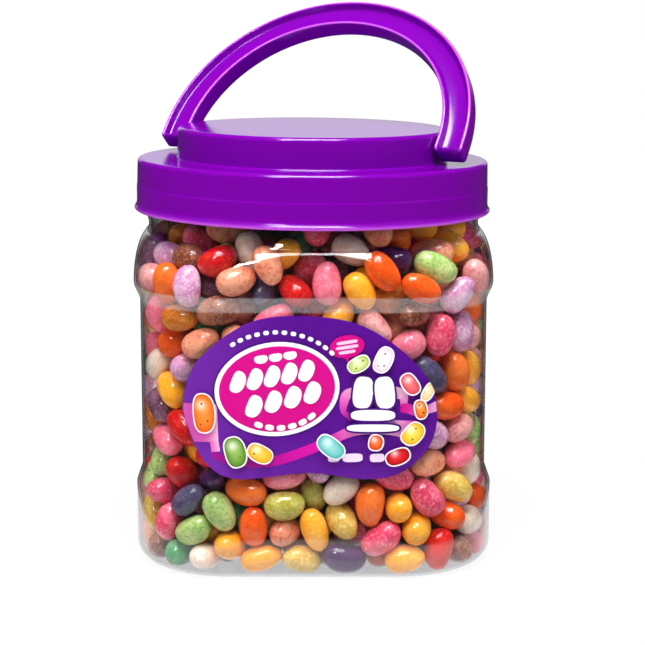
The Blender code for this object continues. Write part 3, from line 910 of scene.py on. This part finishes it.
def clear_plastic():
    """Clear plastic: what is behind it shows, with the reflections of its two faces, a painted dark outline
    where it is seen edge-on, and a painted pale reflection in a band above the panel.
    """
    s = Shader("clear_plastic")
    z = s.node("SeparateXYZ", {0: s.node("TexCoord").outputs["Object"]}).outputs[2]
    facing = s.node("LayerWeight", {"Blend": 0.5}).outputs["Facing"]
    fresnel = s.math("ADD", s.math("MULTIPLY", s.math("POWER", facing, 5.0), 0.95), 0.05, True)
    lit_through = s.math("SUBTRACT", 1.0, s.node("LightPath").outputs["Is Shadow Ray"])
    fresnel = s.math("MULTIPLY", fresnel, lit_through)
    shine = s.node("BsdfGlossy", {"Color": (1, 1, 1, 1), "Roughness": 0.02}).outputs[0]
    # painted shade: seen edge-on the see-through colour turns grey-black, a dark outline along the jar's
    # edges; lamps' shadow rays pass untinted
    edge = s.math("MULTIPLY", s.math("POWER", facing, 6.0), lit_through)
    painted_outline_tint = s.mix(edge, (0.985, 0.987, 0.99, 1), (0.22, 0.21, 0.25, 1))
    through = s.node("BsdfTransparent", {"Color": painted_outline_tint}).outputs[0]
    mixed = s.node("MixShader", {0: fresnel, 1: through, 2: shine}).outputs[0]
    # painted reflection: 12 percent of pale diffuse white in a band from 94.5 to 100.5 mm up, in place of the
    # bright reflection on the curved step above the panel
    painted_reflection_band = s.node("BsdfDiffuse", {"Color": (0.9, 0.9, 0.9, 1)}).outputs[0]
    top = s.math("MULTIPLY", s.between(z, 94.5 * MM, 95.5 * MM), s.between(z, 100.5 * MM, 100.0 * MM))
    share = s.math("MULTIPLY", top, 0.12)
    return s.done(s.node("MixShader", {0: share, 1: mixed, 2: painted_reflection_band}).outputs[0])


def purple_plastic():
    s = Shader("purple_plastic")
    # painted highlight: the colour runs to pale pink-lilac along the rim crests and the lip
    rim_highlight = s.node("Attribute", attribute_name="rim_highlight").outputs["Fac"]
    inputs = {
        "Base Color": s.mix(s.math("MULTIPLY", rim_highlight, 0.85), linear(112, 0, 152), linear(214, 100, 240)),
        "Roughness": 0.13,
        "IOR": 1.5,
        "Subsurface Weight": 0.1,
        "Subsurface Radius": (1.0, 0.3, 1.0),
        "Subsurface Scale": 0.002,
    }
    return s.done(s.node("BsdfPrincipled", inputs).outputs[0])


# ---------------------------------------------------------------- camera, floor and lamps


def make_camera():
    data = bpy.data.cameras.new("camera")
    data.lens = 105.88
    data.shift_x = 0.014
    made = bpy.data.objects.new("camera", data)
    made.location = (0, -0.700, 0.2075)
    made.rotation_euler = (math.radians(90 - 10.29), 0, 0)
    scene.collection.objects.link(made)
    scene.camera = made


def area_lamp(name, location, target, size, power, size_y=None):
    data = bpy.data.lights.new(name, "AREA")
    data.shape = "RECTANGLE"
    data.size, data.size_y = size, size_y or size
    data.energy = power
    made = bpy.data.objects.new(name, data)
    made.location = location
    made.rotation_euler = (Vector(target) - Vector(location)).to_track_quat("-Z", "Y").to_euler()
    scene.collection.objects.link(made)
    return made


def make_floor():
    """A white floor. In the object's gloss it is white only close by."""
    s = Shader("floor_white")
    path = s.node("LightPath")
    white = s.node("Emission", {"Color": (1, 1, 1, 1), "Strength": 1.03}).outputs[0]
    dark = s.node("Emission", {"Color": (1, 1, 1, 1), "Strength": 0.04}).outputs[0]
    matte = s.node("BsdfDiffuse", {"Color": (0.6, 0.6, 0.6, 1)}).outputs[0]
    place = s.node("TexCoord").outputs["Object"]
    away = s.node("VectorMath", {0: place}, operation="LENGTH").outputs["Value"]
    mirrored = s.node("MixShader", {0: s.between(away, 0.116, 0.108), 1: dark, 2: white}).outputs[0]
    surface = s.node("MixShader", {0: path.outputs["Is Glossy Ray"], 1: matte, 2: mirrored}).outputs[0]
    plain = s.math("SUBTRACT", 1.0, s.math("MULTIPLY", s.between(away, 0.3, 0.12), 0.12))
    seen = s.math("MULTIPLY", path.outputs["Is Camera Ray"], plain)
    surface = s.node("MixShader", {0: seen, 1: surface, 2: white}).outputs[0]
    mesh = bpy.data.meshes.new("floor")
    corners = [(x, y, -0.2 * MM) for x, y in ((-1, -1), (1, -1), (1, 1), (-1, 1))]
    mesh.from_pydata(corners, [], [(0, 1, 2, 3)])
    mesh.materials.append(s.done(surface))
    floor = bpy.data.objects.new("floor", mesh)
    scene.collection.objects.link(floor)


def make_world():
    """White to the camera. To the object it is bright low down behind, and dim elsewhere."""
    world = bpy.data.worlds.new("white_room")
    s = Shader("world", world)
    path = s.node("LightPath")
    way = s.node("SeparateXYZ", {0: s.node("TexCoord").outputs["Generated"]}).outputs
    behind = s.math("MULTIPLY", s.between(way[1], 0.9, 0.955), s.between(way[2], 0.0, 0.05))
    in_gloss = s.math("ADD", s.math("MULTIPLY", behind, 0.72), 0.03)
    mirrored = s.node("Background", {"Strength": in_gloss}).outputs[0]
    in_light = s.math("ADD", s.math("MULTIPLY", behind, 0.5), 0.14)
    lit = s.node("Background", {"Strength": in_light}).outputs[0]
    seen = s.node("Background", {"Strength": 1.0}).outputs[0]
    for node in s.tree.nodes:
        if node.type == "BACKGROUND":
            node.inputs["Color"].default_value = (1, 1, 1, 1)
    mixed = s.node("MixShader", {0: path.outputs["Is Glossy Ray"], 1: lit, 2: mirrored}).outputs[0]
    mixed = s.node("MixShader", {0: path.outputs["Is Camera Ray"], 1: mixed, 2: seen}).outputs[0]
    s.node("OutputWorld", {"Surface": mixed})
    scene.world = world


make_camera()
make_floor()
make_world()
middle = (0, 0, 0.08)
area_lamp("top", (0, -0.25, 0.98), middle, 0.55, 10.5, 0.28)
area_lamp("front", (0, -0.50, 0.88), middle, 0.5, 3.4, 0.2)
area_lamp("window", (-0.33, -0.68, 0.87), middle, 0.17, 2.4, 0.08)
fills = (("fill_left", -0.85, -0.4, 2.4), ("fill_right", 0.85, -0.4, 2.4), ("fill_back", 0, 0.85, 3.0))
for name, x, y, power in fills:
    fill = area_lamp(name, (x, y, 0.45), middle, 0.4, power)
    fill.visible_glossy = False

purple = purple_plastic()
make_jar(clear_plastic())
make_lid(purple)
make_handle(purple)
make_beans()
make_core()
make_label(label_purple())
make_print(label_ink())

scene.view_settings.view_transform = "Standard"
scene.cycles.use_denoising = True
scene.cycles.max_bounces = 16
scene.cycles.transparent_max_bounces = 24
scene.cycles.caustics_reflective = False
scene.cycles.caustics_refractive = False
